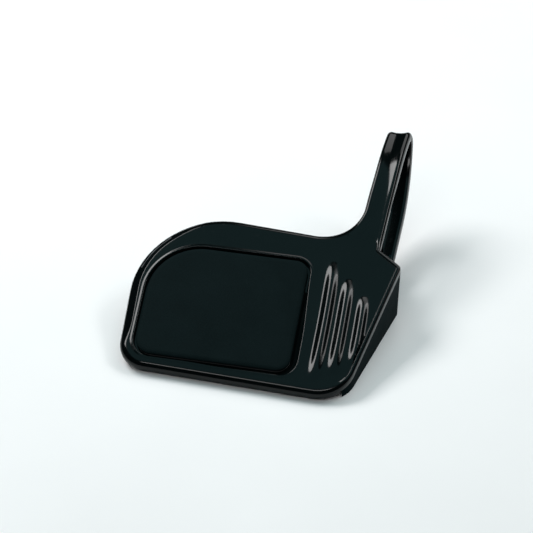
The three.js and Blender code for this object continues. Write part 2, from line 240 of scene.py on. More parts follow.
@dataclass
class Sketch:
    """A mesh drawn in the blade's plane, as rings, fills and sections.

    Attributes:
        points: vertices in mm.
        faces: vertex numbers of each face.
    """

    points: list[Point3] = field(default_factory=list)
    faces: list[tuple[int, ...]] = field(default_factory=list)

    def add(self, points: Sequence[Sequence[float]]) -> list[int]:
        """Adds vertices.

        Args:
            points: u, v, w of each.

        Returns:
            Their numbers.
        """
        start = len(self.points)
        self.points.extend((float(p[0]), float(p[1]), float(p[2])) for p in points)
        return list(range(start, len(self.points)))

    def strip(self, first: Sequence[int], second: Sequence[int], closed: bool) -> None:
        """Joins two rings or rows of equal length by quads.

        Args:
            first: vertex numbers of one.
            second: vertex numbers of the other.
            closed: whether they join their own starts.
        """
        count = len(first)
        for i in range(count if closed else count - 1):
            j = (i + 1) % count
            self.faces.append((first[i], first[j], second[j], second[i]))

    def cap(self, ring: Sequence[int]) -> None:
        """Closes a ring with one face."""
        self.faces.append(tuple(ring))

    def fill(
        self,
        edge: Sequence[int],
        holes: Sequence[Sequence[int]],
        grid: np.ndarray,
        height: Height,
        clear: float,
    ) -> None:
        """Fills the space inside a ring, round its holes, with triangles over a cloud of points.

        Args:
            edge: vertex numbers of the outer ring.
            holes: vertex numbers of each inner ring.
            grid: the points to use inside, u and v.
            height: level of the surface at a point.
            clear: smallest distance kept between a point of the grid and a ring.
        """
        rings = [list(edge), *[list(h) for h in holes]]
        flat = [np.array([self.points[i][:2] for i in ring]) for ring in rings]
        every = np.concatenate(flat)
        chosen = [
            p
            for p, gap in zip(grid, distances(grid, every))
            if gap > clear and inside(p, flat[0]) and not any(inside(p, h) for h in flat[1:])
        ]
        numbers = [i for ring in rings for i in ring]
        numbers += self.add([(p[0], p[1], height(p[0], p[1])) for p in chosen])
        edges: list[tuple[int, int]] = []
        start = 0
        for ring in rings:
            count = len(ring)
            edges.extend((start + i, start + (i + 1) % count) for i in range(count))
            start += count
        coords = [Vector(self.points[i][:2]) for i in numbers]
        made = delaunay_2d_cdt(coords, edges, [], 2, 1e-5)
        back = [numbers[first[0]] for first in made[3]]
        owned = [set(hole) for hole in holes]
        for face in made[2]:
            corners = tuple(back[i] for i in face)
            if not any(hole.issuperset(corners) for hole in owned):
                self.faces.append(corners)

    def build(self, name: str, angle: float = 38.0) -> bpy.types.Object:
        """Turns the drawing into a closed, smooth shaded object.

        Args:
            name: the piece's name.
            angle: edges sharper than this stay crisp, in degrees.

        Returns:
            The new object, at the origin, with its place in its mesh.
        """
        mesh = bpy.data.meshes.new(name)
        matrix = LEANED.matrix()
        mesh.from_pydata([tuple(matrix @ Vector(p)) for p in self.points], [], self.faces)
        piece = bpy.data.objects.new(name, mesh)
        bpy.context.collection.objects.link(piece)
        return Bench.closed(piece, angle)


class Bench:
    """Editing steps shared by the pieces."""

    @staticmethod
    def pick(piece: bpy.types.Object) -> None:
        """Leaves one object selected and active.

        Args:
            piece: the object to select.
        """
        if bpy.context.object and bpy.context.object.mode != "OBJECT":
            bpy.ops.object.mode_set(mode="OBJECT")
        bpy.ops.object.select_all(action="DESELECT")
        piece.select_set(True)
        bpy.context.view_layer.objects.active = piece

    @staticmethod
    def closed(piece: bpy.types.Object, angle: float) -> bpy.types.Object:
        """Merges doubles, turns the faces outwards and shades the piece.

        Args:
            piece: the object.
            angle: edges sharper than this stay crisp, in degrees.

        Returns:
            The same object.
        """
        Bench.pick(piece)
        bpy.ops.object.mode_set(mode="EDIT")
        bpy.ops.mesh.select_all(action="SELECT")
        bpy.ops.mesh.remove_doubles(threshold=1e-6)
        bpy.ops.mesh.normals_make_consistent(inside=False)
        bpy.ops.object.mode_set(mode="OBJECT")
        bpy.ops.object.shade_smooth_by_angle(angle=math.radians(angle))
        return piece

    @staticmethod
    def settle(piece: bpy.types.Object) -> bpy.types.Object:
        """Applies the object's own place, turn and scale to its mesh.

        Args:
            piece: the object.

        Returns:
            The same object.
        """
        Bench.pick(piece)
        bpy.ops.object.transform_apply(location=True, rotation=True, scale=True)
        return piece

    @staticmethod
    def choose(piece: bpy.types.Object, test: Callable[[Vector, Vector], bool]) -> None:
        """Selects the faces whose centre and normal pass a test, in face mode.

        Args:
            piece: the object, in edit mode.
            test: takes a face's centre and normal.
        """
        bpy.ops.mesh.select_mode(type="FACE")
        mesh = bmesh.from_edit_mesh(piece.data)
        for face in mesh.faces:
            face.select = test(face.calc_center_median(), face.normal)
        mesh.select_flush_mode()
        bmesh.update_edit_mesh(piece.data)

    @staticmethod
    def tube(name: str, points: Sequence[Point3]) -> bpy.types.Object:
        """A closed solid from a top ring and a bottom ring of equal length.

        Args:
            name: the solid's name.
            points: the top ring, then the bottom ring, in metres.

        Returns:
            The new object.
        """
        count = len(points) // 2
        faces = [tuple(range(count)), tuple(range(2 * count - 1, count - 1, -1))]
        faces += [(i, i + count, (i + 1) % count + count, (i + 1) % count) for i in range(count)]
        mesh = bpy.data.meshes.new(name)
        mesh.from_pydata(list(points), [], faces)
        piece = bpy.data.objects.new(name, mesh)
        bpy.context.collection.objects.link(piece)
        return Bench.closed(piece, 40)

    @staticmethod
    def join(piece: bpy.types.Object, other: bpy.types.Object, operation: str) -> None:
        """Joins or cuts a piece with another, which is then removed.

        Args:
            piece: the piece that stays.
            other: the other solid.
            operation: UNION, DIFFERENCE or INTERSECT.
        """
        Bench.apply(piece, "BOOLEAN", object=other, operation=operation, solver="MANIFOLD")
        bpy.data.objects.remove(other, do_unlink=True)

    @staticmethod
    def apply(piece: bpy.types.Object, kind: str, **settings: object) -> None:
        """Adds a modifier with its settings and applies it.

        Args:
            piece: the object.
            kind: the modifier's type.
            **settings: its properties.
        """
        Bench.pick(piece)
        modifier = piece.modifiers.new(kind.lower(), kind)
        for key, value in settings.items():
            setattr(modifier, key, value)
        bpy.ops.object.modifier_apply(modifier=modifier.name)


# ---- finishes ------------------------------------------------------------------------------------
@dataclass(frozen=True)
class Finish:
    """A surface finish with grain, roughness and colour that vary over the piece.

    Attributes:
        name: material name.
        dark: one end of the colour range.
        light: the other end.
        rough: lowest and highest roughness.
        patch: scale of the slow colour and roughness variation, per metre.
        grain: scale of the fine grain, per metre.
        relief: depth of the grain in metres.
        metal: metallic share.
        stretch: scale of the patterns along x, y and z.
        cells: whether the grain is made of cells instead of noise.
        wear: share of lighter rubbed marks.
        shine: specular level.
    """

    name: str
    dark: Point3
    light: Point3
    rough: tuple[float, float]
    patch: float = 18.0
    grain: float = 900.0
    relief: float = 0.0001
    metal: float = 0.0
    stretch: Point3 = (1.0, 1.0, 1.0)
    cells: bool = False
    wear: float = 0.0
    shine: float = 0.5

    def material(self) -> bpy.types.Material:
        """Builds the node material, or returns it if it is already made.

        Returns:
            The material.
        """
        made = bpy.data.materials.get(self.name)
        if made is not None:
            return made
        made = bpy.data.materials.new(self.name)
        made.use_nodes = True
        tree = made.node_tree
        shader = tree.nodes["Principled BSDF"]
        shader.inputs["Metallic"].default_value = self.metal
        shader.inputs["Specular IOR Level"].default_value = self.shine
        where = tree.nodes.new("ShaderNodeTexCoord")
        mapping = tree.nodes.new("ShaderNodeMapping")
        mapping.inputs["Scale"].default_value = self.stretch
        tree.links.new(where.outputs["Object"], mapping.inputs["Vector"])
        slow = self.noise(tree, mapping, self.patch, 5.0)
        self.ramp(tree, slow, shader.inputs["Base Color"])
        self.roughness(tree, slow, mapping, shader)
        self.grain_bump(tree, mapping, shader)
        return made

    def noise(
        self,
        tree: bpy.types.NodeTree,
        mapping: bpy.types.Node,
        scale: float,
        detail: float,
    ) -> bpy.types.Node:
        """Adds a noise texture.

        Args:
            tree: the material's nodes.
            mapping: node that gives the place.
            scale: size of the pattern, per metre.
            detail: octaves.

        Returns:
            The texture node.
        """
        texture = tree.nodes.new("ShaderNodeTexNoise")
        texture.inputs["Scale"].default_value = scale
        texture.inputs["Detail"].default_value = detail
        tree.links.new(mapping.outputs["Vector"], texture.inputs["Vector"])
        return texture

    def ramp(self, tree: bpy.types.NodeTree, texture: bpy.types.Node, socket: bpy.types.NodeSocket) -> None:
        """Colours the surface from dark to light.

        Args:
            tree: the material's nodes.
            texture: the slow variation.
            socket: the shader's colour socket.
        """
        ramp = tree.nodes.new("ShaderNodeValToRGB")
        ramp.color_ramp.elements[0].position = 0.35
        ramp.color_ramp.elements[1].position = 0.7
        ramp.color_ramp.elements[0].color = (*self.dark, 1.0)
        ramp.color_ramp.elements[1].color = (*self.light, 1.0)
        tree.links.new(texture.outputs["Fac"], ramp.inputs["Fac"])
        tree.links.new(ramp.outputs["Color"], socket)

    def roughness(
        self,
        tree: bpy.types.NodeTree,
        slow: bpy.types.Node,
        mapping: bpy.types.Node,
        shader: bpy.types.Node,
    ) -> None:
        """Varies the roughness, with rubbed marks where the finish has wear.

        Args:
            tree: the material's nodes.
            slow: the slow variation.
            mapping: node that gives the place.
            shader: the surface shader.
        """
        spread = tree.nodes.new("ShaderNodeMapRange")
        spread.inputs["From Min"].default_value = 0.3
        spread.inputs["From Max"].default_value = 0.7
        spread.inputs["To Min"].default_value = self.rough[0]
        spread.inputs["To Max"].default_value = self.rough[1]
        tree.links.new(slow.outputs["Fac"], spread.inputs["Value"])
        result = spread.outputs["Result"]
        if self.wear:
            marks = self.noise(tree, mapping, 140.0, 8.0)
            narrow = tree.nodes.new("ShaderNodeMapRange")
            narrow.inputs["From Min"].default_value = 0.62
            narrow.inputs["From Max"].default_value = 0.75
            narrow.inputs["To Max"].default_value = self.wear
            tree.links.new(marks.outputs["Fac"], narrow.inputs["Value"])
            total = tree.nodes.new("ShaderNodeMath")
            tree.links.new(result, total.inputs[0])
            tree.links.new(narrow.outputs["Result"], total.inputs[1])
            result = total.outputs["Value"]
        tree.links.new(result, shader.inputs["Roughness"])

    def grain_bump(
        self,
        tree: bpy.types.NodeTree,
        mapping: bpy.types.Node,
        shader: bpy.types.Node,
    ) -> None:
        """Adds the fine relief.

        Args:
            tree: the material's nodes.
            mapping: node that gives the place.
            shader: the surface shader.
        """
        if self.cells:
            texture = tree.nodes.new("ShaderNodeTexVoronoi")
            texture.inputs["Scale"].default_value = self.grain
            tree.links.new(mapping.outputs["Vector"], texture.inputs["Vector"])
            value = texture.outputs["Distance"]
        else:
            value = self.noise(tree, mapping, self.grain, 3.0).outputs["Fac"]
        bump = tree.nodes.new("ShaderNodeBump")
        bump.inputs["Strength"].default_value = 1.0
        bump.inputs["Distance"].default_value = self.relief
        tree.links.new(value, bump.inputs["Height"])
        tree.links.new(bump.outputs["Normal"], shader.inputs["Normal"])

    def dress(self, piece: bpy.types.Object) -> bpy.types.Object:
        """Gives a piece this finish.

        Args:
            piece: a new piece or a node of the frame.

        Returns:
            The same piece.
        """
        piece.data.materials.clear()
        piece.data.materials.append(self.material())
        return piece


MOULDED = Finish(
    "moulded_gloss", (0.0007, 0.0019, 0.0021), (0.0012, 0.0028, 0.0030), (0.09, 0.14),
    patch=14.0, grain=260.0, relief=0.00001, wear=0.12, shine=0.22,
)
SATIN = Finish(
    "moulded_satin", (0.0030, 0.0084, 0.0096), (0.0044, 0.0110, 0.0126), (0.34, 0.46),
    patch=22.0, grain=1600.0, relief=0.00005, wear=0.1, shine=0.004,
)
COVER = Finish(
    "grained_pad_cover", (0.0040, 0.0086, 0.0092), (0.0052, 0.0106, 0.0114), (0.50, 0.62),
    patch=30.0, grain=1300.0, relief=0.00016, cells=True, shine=0.012,
)
FOAM = Finish(
    "cut_foam", (0.05, 0.053, 0.056), (0.085, 0.088, 0.092), (0.9, 1.0),
    grain=1400.0, relief=0.0003,
)
BOARD = Finish(
    "pressed_board", (0.22, 0.14, 0.06), (0.40, 0.28, 0.13), (0.7, 0.85),
    patch=60.0, grain=700.0, relief=0.0002, stretch=(1.0, 0.12, 1.0),
)
NYLON = Finish(
    "ribbed_nylon", (0.016, 0.018, 0.019), (0.026, 0.028, 0.030), (0.42, 0.58),
    patch=40.0, grain=1100.0, relief=0.00006, wear=0.1,
)
SPRING = Finish(
    "brushed_spring_steel", (0.30, 0.31, 0.33), (0.46, 0.47, 0.49), (0.25, 0.42),
    patch=90.0, grain=2200.0, relief=0.00003, metal=1.0, stretch=(0.08, 1.0, 1.0),
)
ZINC = Finish(
    "zinc_plated_steel", (0.36, 0.37, 0.38), (0.56, 0.57, 0.58), (0.22, 0.38),
    patch=220.0, grain=1800.0, relief=0.00003, metal=1.0,
)
STUDIO_FLOOR = Finish(
    "pale_studio_floor", (0.86, 0.86, 0.86), (0.90, 0.90, 0.90), (0.75, 0.85),
    patch=3.0, grain=400.0, relief=0.00002,
)


# ---- the face outline ----------------------------------------------------------------------------
@dataclass(frozen=True)
class FaceOutline:
    """The plan of the face and of the strap that grows out of its neck.

    Attributes:
        strap_foot: foot of the strap's centre line.
        strap_lean: degrees the strap leans to the right.
        strap_width: width of the strap.
        row: length along the strap at which the flat face ends.
        neck_level: height of the hollow corner at the neck.
        kink_level: height of the corner where the strap meets the right rim.
    """

    strap_foot: Point2 = (135.3, 95.0)
    strap_lean: float = 4.7
    strap_width: float = 26.0
    row: float = 52.0
    neck_level: float = 100.8
    kink_level: float = 91.5
    top_left: Corner = (-104.6, 123.0, 90.0)
    right: Corner = (171.6, 73.6, 4.8)
    low_right: Corner = (131.5, -82.6, 38.0)
    low_left: Corner = (-95.2, -68.4, 30.0)

    def along(self) -> Vector:
        """Direction of the strap on the face."""
        lean = math.radians(self.strap_lean)
        return Vector((math.sin(lean), math.cos(lean), 0))

    def across(self) -> Vector:
        """Direction across the strap on the face."""
        lean = math.radians(self.strap_lean)
        return Vector((math.cos(lean), -math.sin(lean), 0))

    def side(self, level: float, sign: int) -> Point2:
        """Point of the strap's left (-1) or right (1) edge at a height v.

        Args:
            level: v of the point.
            sign: -1 for the left edge, 1 for the right edge.

        Returns:
            Its u and v.
        """
        lean = math.radians(self.strap_lean)
        centre = self.strap_foot[0] + (level - self.strap_foot[1]) * math.tan(lean)
        return centre + sign * self.strap_width / 2 / math.cos(lean), level

    def row_end(self, sign: int) -> Point2:
        """End of the row where the flat face becomes the strap, on one edge.

        Args:
            sign: -1 for the left edge, 1 for the right.

        Returns:
            The point.
        """
        foot = Vector((*self.strap_foot, 0))
        point = foot + self.along() * self.row + self.across() * (sign * self.strap_width / 2)
        return point.x, point.y

    def path(self) -> np.ndarray:
        """The rim from the strap's left edge, anticlockwise, to its right edge.

        Returns:
            An open path in the blade's plane.
        """
        corners = [
            (*self.row_end(-1), 0),
            (*self.side(self.neck_level, -1), 43),
            self.top_left,
            self.low_left,
            self.low_right,
            self.right,
            (*self.side(self.kink_level, 1), 3),
            (*self.row_end(1), 0),
        ]
        return rounded(corners, closed=False)


OUTLINE = FaceOutline()
PAD_CORNERS: tuple[Corner, ...] = ((-80, -55, 18), (76, -60, 14), (79, 69, 14), (-82, 75, 52))
FLEX_START = 90.0
FLEX_STOP = 129.5
SEAM = -8.0
RIVETS: tuple[Point2, ...] = ((68, -18), (68, -4), (68, 10), (68, 24))
LEAF_SCREWS: tuple[Point2, ...] = ((138, -14), (138, 20))
LEAF_SCREW_TOP = -10.8
RIVET_FOOT = -16.0


@dataclass(frozen=True)
class Flute:
    """One raised flute of the flexing strip.

    Attributes:
        middle: centre of its crest.
        length: half its length.
        width: half its width.
        rise: height of its crest.
        lean: how far its upper end leans to the right.
        bow: how far its ends curve to the left.
    """

    middle: Point2
    length: float
    width: float
    rise: float
    lean: float
    bow: float

    def height(self, u: float, v: float) -> float:
        """Height of the flute at a point.

        Args:
            u: place across the blade.
            v: place up the slope.

        Returns:
            Height above the face.
        """
        t = (v - self.middle[1]) / self.length
        across = (u - self.middle[0] - self.lean * t + self.bow * t * t) / self.width
        if abs(t) >= 1 or abs(across) >= 1:
            return 0.0
        return self.rise * (1 - t**4) ** 1.2 * math.cos(across * math.pi / 2) ** 2


FLUTES = (
    Flute((103.8, 3.0), 70, 8.4, 4.0, 1.5, 1.6),
    Flute((120.8, -2.0), 56, 8.2, 3.8, 1.3, 0.7),
    Flute((138.7, -5.0), 40, 7.6, 3.5, 1.0, 0.7),
)


# ---- the loop ------------------------------------------------------------------------------------
@dataclass(frozen=True)
class LoopRoute:
    """Centre plane of the loop: the strap's outer face, as straight runs and arcs.

    Attributes:
        runs: length or radius of each run, and the angle it turns through.
        twist: degrees the loop turns about its own length.
        thick: thickness of the strap.
        seam: heading where the front strand ends and the grip begins.
    """

    runs: tuple[Point2, ...] = ((98, 0), (230, 14), (14, 126), (140, 40), (52, 0))
    twist: float = 10.0
    thick: float = 11.0
    seam: float = 90.0

    def stations(self, start: float) -> list[tuple[float, float, float, float]]:
        """Samples the route.

        Args:
            start: length along the strap at which to begin.

        Returns:
            s, q, heading in degrees and length so far, for each station.
        """
        s, q, heading, length = start, 0.0, 0.0, start
        found = [(s, q, heading, length)]
        for i, (size, turn) in enumerate(self.runs):
            run = size - start if i == 0 else size
            arc = abs(math.radians(turn)) * size
            count = max(1, math.ceil(abs(turn) / 5), math.ceil((arc if turn else run) / 7))
            for _ in range(count):
                half = turn / count / 2
                chord = 2 * size * math.sin(math.radians(half)) if turn else run / count
                t = math.radians(heading + half)
                s += chord * math.cos(t)
                q += chord * math.sin(t)
                heading += 2 * half
                length += chord
                found.append((s, q, heading, length))
        return found

    def point(self, station: tuple[float, float, float, float], x: float, depth: float) -> Point3:
        """A point of the strap.

        Args:
            station: s, q, heading and length of the section.
            x: offset across the strap.
            depth: depth below its outer face.

        Returns:
            u, v, w.
        """
        s, q, heading, length = station
        twist = math.radians(self.twist) * smooth(length, OUTLINE.row, OUTLINE.row + 60)
        along, across = OUTLINE.along(), OUTLINE.across()
        behind = across * math.sin(twist) - Vector((0, 0, math.cos(twist)))
        sideways = across * math.cos(twist) + Vector((0, 0, math.sin(twist)))
        t = math.radians(heading)
        centre = Vector((*OUTLINE.strap_foot, 0)) + along * s + behind * q
        into = -along * math.sin(t) + behind * math.cos(t)
        return tuple(centre + sideways * x + into * depth)


LOOP = LoopRoute()


@dataclass(frozen=True)
class StrapSection:
    """Cross-section of the strap: two rolled edges, a dished face and a rounded back.

    Attributes:
        dish: depth of the hollow down the middle of the face.
        inner: points across the hollow.
        under: points across the back.
    """

    dish: float = 1.1
    inner: int = 7
    under: int = 9

    def face(self) -> list[Point2]:
        """The outer face from left rim to right rim: x and depth.

        Returns:
            The points from left to right.
        """
        half = OUTLINE.strap_width / 2
        rim = [(-half + d, -w) for d, w in RimStyle.STRAP.value]
        edge, level = half - RimStyle.STRAP.value[-1][0], -RimStyle.STRAP.value[-1][1]
        middle = []
        for k in range(1, self.inner + 1):
            x = -edge + 2 * edge * k / (self.inner + 1)
            middle.append((x, level + (self.dish - level) * (1 - (x / edge) ** 2)))
        return rim + middle + [(-x, depth) for x, depth in reversed(rim)]

    def back(self, grow: float) -> list[Point2]:
        """The back from right to left: x and depth.

        Args:
            grow: 0 for flat at the seam level, 1 for the full rounded back.

        Returns:
            The points, without the two rims.
        """
        half = OUTLINE.strap_width / 2
        points = []
        for k in range(1, self.under + 1):
            t = math.pi * k / (self.under + 1)
            x = half * math.copysign(abs(math.cos(t)) ** 0.75, math.cos(t))
            points.append((x, 8.0 + grow * (LOOP.thick - 8.0) * math.sin(t) ** 0.4))
        return points


STRAP = StrapSection()


def strap_ring(station: tuple[float, float, float, float], grow: float) -> list[Point3]:
    """All points of one section of the strap, in order round it."""
    return [LOOP.point(station, x, depth) for x, depth in STRAP.face() + STRAP.back(grow)]


def field_grid(low: Point2, high: Point2, step: float) -> np.ndarray:
    """A staggered grid of points over a rectangle.

    Args:
        low: lower left corner.
        high: upper right corner.
        step: spacing.

    Returns:
        The points, one row each.
    """
    rows = []
    for j, v in enumerate(np.arange(low[1], high[1], step * 0.87)):
        shift = step / 2 if j % 2 else 0.0
        rows.extend((u + shift, v) for u in np.arange(low[0], high[0], step))
    return np.array(rows)


# ---- pieces --------------------------------------------------------------------------------------
@dataclass
class FrontMoulding:
    """The front skin: rim, face, pad recess, flutes and front strand of the loop, in one moulding.

    Attributes:
        groove: width of the open channel round the pad.
        lip: width of the raised line outside the channel.
        channel_floor: level of the channel's floor.
        wide_right: how much wider the channel gets at the lower right.
        wide_below: how much wider it gets below the pad.
    """

    groove: float = 2.4
    lip: float = 3.4
    channel_floor: float = -4.2
    wide_right: float = 4.2
    wide_below: float = 1.4

    def rim_weights(self, path: np.ndarray) -> np.ndarray:
        """How much of each rim style every point of the rim has.

        Args:
            path: points of the rim.

        Returns:
            Soft, wide, lip and strap shares, one row a point.
        """
        shares = []
        low_right = OUTLINE.low_right
        past = False
        for u, v in path:
            past = past or (u > low_right[0] - 20 and v < 0)
            if past:
                strap = smooth(v, OUTLINE.kink_level + 1, OUTLINE.kink_level + 14) if u < 165 else 0.0
                lip = smooth(v, low_right[1] + 1, low_right[1] + 26) * (1 - strap)
            else:
                strap = smooth(v, 108, 134) if u > 60 else 0.0
                lip = 0.0
            wide = (1 - strap) * smooth(-u, 30, 75) * smooth(v, -56, -20)
            shares.append((1 - wide - lip - strap, wide, lip, strap))
        return np.array(shares)

    def surface(self, u: float, v: float) -> float:
        """Level of the face away from the rim and the pad recess.

        Args:
            u: place across the blade.
            v: place up the slope.

        Returns:
            Level above the flat face.
        """
        level = max(flute.height(u, v) for flute in FLUTES)
        foot = Vector((u - OUTLINE.strap_foot[0], v - OUTLINE.strap_foot[1], 0))
        s, x = foot.dot(OUTLINE.along()), foot.dot(OUTLINE.across())
        edge = OUTLINE.strap_width / 2 - RimStyle.STRAP.value[-1][0]
        rim = -RimStyle.STRAP.value[-1][1]
        if abs(x) < edge:
            dish = rim + (STRAP.dish - rim) * (1 - (x / edge) ** 2)
        else:
            dish = rim * (1 - smooth(abs(x) - edge, 0, 14))
        return level - dish * smooth(s, 8, OUTLINE.row - 2)

    def rings(self, sketch: Sketch, path: np.ndarray) -> list[list[int]]:
        """Draws the rim as rings from its lower edge up to the face.

        Args:
            sketch: the drawing.
            path: points of the rim.

        Returns:
            Vertex numbers of each ring.
        """
        turned = inward(path, closed=False)
        shares = self.rim_weights(path)
        styles = [np.array(style.value) for style in RimStyle]
        made = []
        for k in range(len(styles[0])):
            profile = shares @ np.array([style[k] for style in styles])
            flat = path + turned * profile[:, :1]
            made.append(sketch.add(np.column_stack([flat, profile[:, 1]])))
        for first, second in zip(made, made[1:]):
            sketch.strip(first, second, closed=False)
        return made

    def widening(self, pad: np.ndarray) -> np.ndarray:
        """How much wider the channel is at each point: most at the lower right, some below.

        Args:
            pad: the pad's edge.

        Returns:
            The extra width at each of its points.
        """
        return np.array([
            max(
                self.wide_right * smooth(u, 55, 74) * smooth(-v, -62, 25),
                self.wide_below * smooth(-v, 40, 54) * smooth(u, -30, 10),
            )
            for u, v in pad
        ])

    def recess(self, sketch: Sketch) -> list[int]:
        """Draws the pad recess, and returns its outer ring.

        Args:
            sketch: the mesh being drawn.

        Returns:
            Numbers of the outer ring's points.
        """
        pad = rounded(PAD_CORNERS, closed=True)
        turned = inward(pad, closed=True)
        wide = self.widening(pad)
        steps = (
            (self.groove + self.lip + 0.5, 0.0),
            (self.groove + self.lip - 0.2, 0.1),
            (self.groove + self.lip - 1.2, 0.5),
            (self.groove + 1.2, 0.62),
            (self.groove + 0.5, 0.35),
            (self.groove + 0.1, -0.5),
            (self.groove, -1.3),
            (self.groove, -2.2),
            (self.groove, self.channel_floor + 0.7),
            (self.groove - 0.5, self.channel_floor),
            (-1.0, self.channel_floor),
        )
        made = [
            sketch.add(np.column_stack([
                pad - turned * (out + wide * smooth(level, self.channel_floor, -0.2))[:, None],
                np.full(len(pad), level),
            ]))
            for out, level in steps
        ]
        for first, second in zip(made, made[1:]):
            sketch.strip(first, second, closed=True)
        sketch.cap(made[-1])
        return made[0]

    def grid(self) -> np.ndarray:
        """Points that carry the face: fine over the flutes and the neck, coarse elsewhere.

        Returns:
            Points in the blade's plane.
        """
        fluted = field_grid((91, -82), (172, 96), 1.3)
        neck = field_grid((112, 96), (160, 150), 1.8)
        coarse = field_grid((-110, -90), (176, 130), 3.0)
        off = [p for p in coarse if not (p[0] > 90 and p[1] < 97) and not (p[0] > 111 and p[1] > 95)]
        return np.concatenate([fluted, neck, np.array(off)])

    def build(self) -> bpy.types.Object:
        """Draws the moulding, dresses it and applies its transform to its mesh.

        Returns:
            The finished piece.
        """
        sketch = Sketch()
        path = OUTLINE.path()
        rims = self.rings(sketch, path)
        hole = self.recess(sketch)
        stations = [st for st in LOOP.stations(OUTLINE.row) if st[2] <= LOOP.seam + 1e-6]
        first = STRAP.face()
        count = len(RimStyle.STRAP.value)
        row = sketch.add([LOOP.point(stations[0], x, d) for x, d in first[count:-count]])
        under = sketch.add([LOOP.point(stations[0], x, d) for x, d in STRAP.back(0)])
        sketch.fill(rims[-1] + row[::-1], [hole], self.grid(), self.surface, 0.9)
        sketch.cap(rims[0] + under)
        section = [ring[0] for ring in rims] + row + [ring[-1] for ring in rims][::-1] + under
        for station in stations[1:]:
            grow = smooth(station[3], OUTLINE.row, OUTLINE.row + 30)
            ring = sketch.add(strap_ring(station, grow))
            sketch.strip(section, ring, closed=True)
            section = ring
        sketch.cap(section)
        piece = sketch.build("front_moulding", angle=50)
        MOULDED.dress(piece)
        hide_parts("blade_front_skin", "flex_front_skin", "grip_front_skin")
        bend(piece)
        return piece


def bend(piece: bpy.types.Object) -> None:
    """Applies a piece's own transform to its mesh; it works out where the flexing strip starts and stops but
    does not bend the piece.

    Args:
        piece: a piece that crosses the flexing strip.
    """
    start = LEANED.place((FLEX_START, 0, -9))
    end = LEANED.place((FLEX_STOP, 0, -9))
    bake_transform(piece)


@dataclass
class RearGrip:
    """The rear strand of the loop, which the hand closes on.

    Attributes:
        gap: width of the parting line at the top of the loop.
        root: v at which the strand meets the heel.
    """

    gap: float = 0.25
    root: float = 112.3

    def build(self) -> bpy.types.Object:
        """Sweeps the strap from the parting line to the heel.

        Returns:
            The finished piece.
        """
        sketch = Sketch()
        stations = [st for st in LOOP.stations(OUTLINE.row) if st[2] >= LOOP.seam - 1e-6]
        first = stations[0]
        opened = (first[0], first[1] + self.gap, first[2], first[3] + self.gap)
        rings = []
        for station in [opened, *stations[1:]]:
            points = strap_ring(station, 1.0)
            if min(p[1] for p in points) < self.root:
                points = [self.stopped(p, station) for p in points]
                rings.append(sketch.add(points))
                break
            rings.append(sketch.add(points))
        for a, b in zip(rings, rings[1:]):
            sketch.strip(a, b, closed=True)
        sketch.cap(rings[0])
        sketch.cap(rings[-1])
        piece = sketch.build("rear_grip_strap", angle=50)
        MOULDED.dress(piece)
        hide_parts("rear_grip")
        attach(piece, Side.GRIP.value)
        return piece

    def stopped(self, point: Point3, station: tuple[float, float, float, float]) -> Point3:
        """Moves a point along the strap's length onto the heel's wall.

        Args:
            point: the point.
            station: the section it belongs to.

        Returns:
            The point on the wall.
        """
        t = math.radians(station[2])
        along = OUTLINE.along() * math.cos(t)
        share = (self.root - point[1]) / along.y
        return tuple(Vector(point) + along * share)


@dataclass
class StrikePad:
    """The grained pad in the middle of the face.

    Attributes:
        top: level of its rim.
        crown: how much higher its middle stands.
        foot: level of its underside.
    """

    top: float = 1.3
    crown: float = 1.0
    foot: float = -1.9

    def level(self, u: float, v: float) -> float:
        """Level of the crowned top."""
        return self.top + self.crown * max(0.0, 1 - (u / 86) ** 2) * max(0.0, 1 - ((v - 6) / 74) ** 2)

    def build(self) -> bpy.types.Object:
        """Draws the pad with its rolled edge and crowned top.

        Returns:
            The finished piece.
        """
        sketch = Sketch()
        pad = rounded(PAD_CORNERS, closed=True)
        turned = inward(pad, closed=True)
        roll = ((0.6, self.foot), (0.1, self.foot + 0.5), (0.0, -0.9), (0.25, -0.1), (0.9, 0.55), (1.9, 1.0))
        made = [
            sketch.add(np.column_stack([pad + turned * d, np.full(len(pad), level)]))
            for d, level in roll
        ]
        for d in (3.2, 5.0, 7.5):
            flat = pad + turned * d
            levels = [self.level(u, v) for u, v in flat]
            made.append(sketch.add(np.column_stack([flat, levels])))
        for first, second in zip(made, made[1:]):
            sketch.strip(first, second, closed=True)
        sketch.cap(made[0])
        sketch.fill(made[-1], [], field_grid((-80, -60), (80, 76), 3.0), self.level, 1.5)
        piece = sketch.build("strike_pad_cover", angle=60)
        COVER.dress(piece)
        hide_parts("strike_pad")
        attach(piece, Side.BLADE.value)
        return piece


@dataclass(frozen=True)
class BackScrew:
    """Where one screw closes the back of the blade: u, v and the level of its head."""

    u: float
    v: float
    level: float


BACK_SCREWS = (
    BackScrew(-92.3, 5, -13.4),
    BackScrew(-66, 88, -15),
    BackScrew(5, 97, -16.6),
    BackScrew(70, 93, -16.4),
)


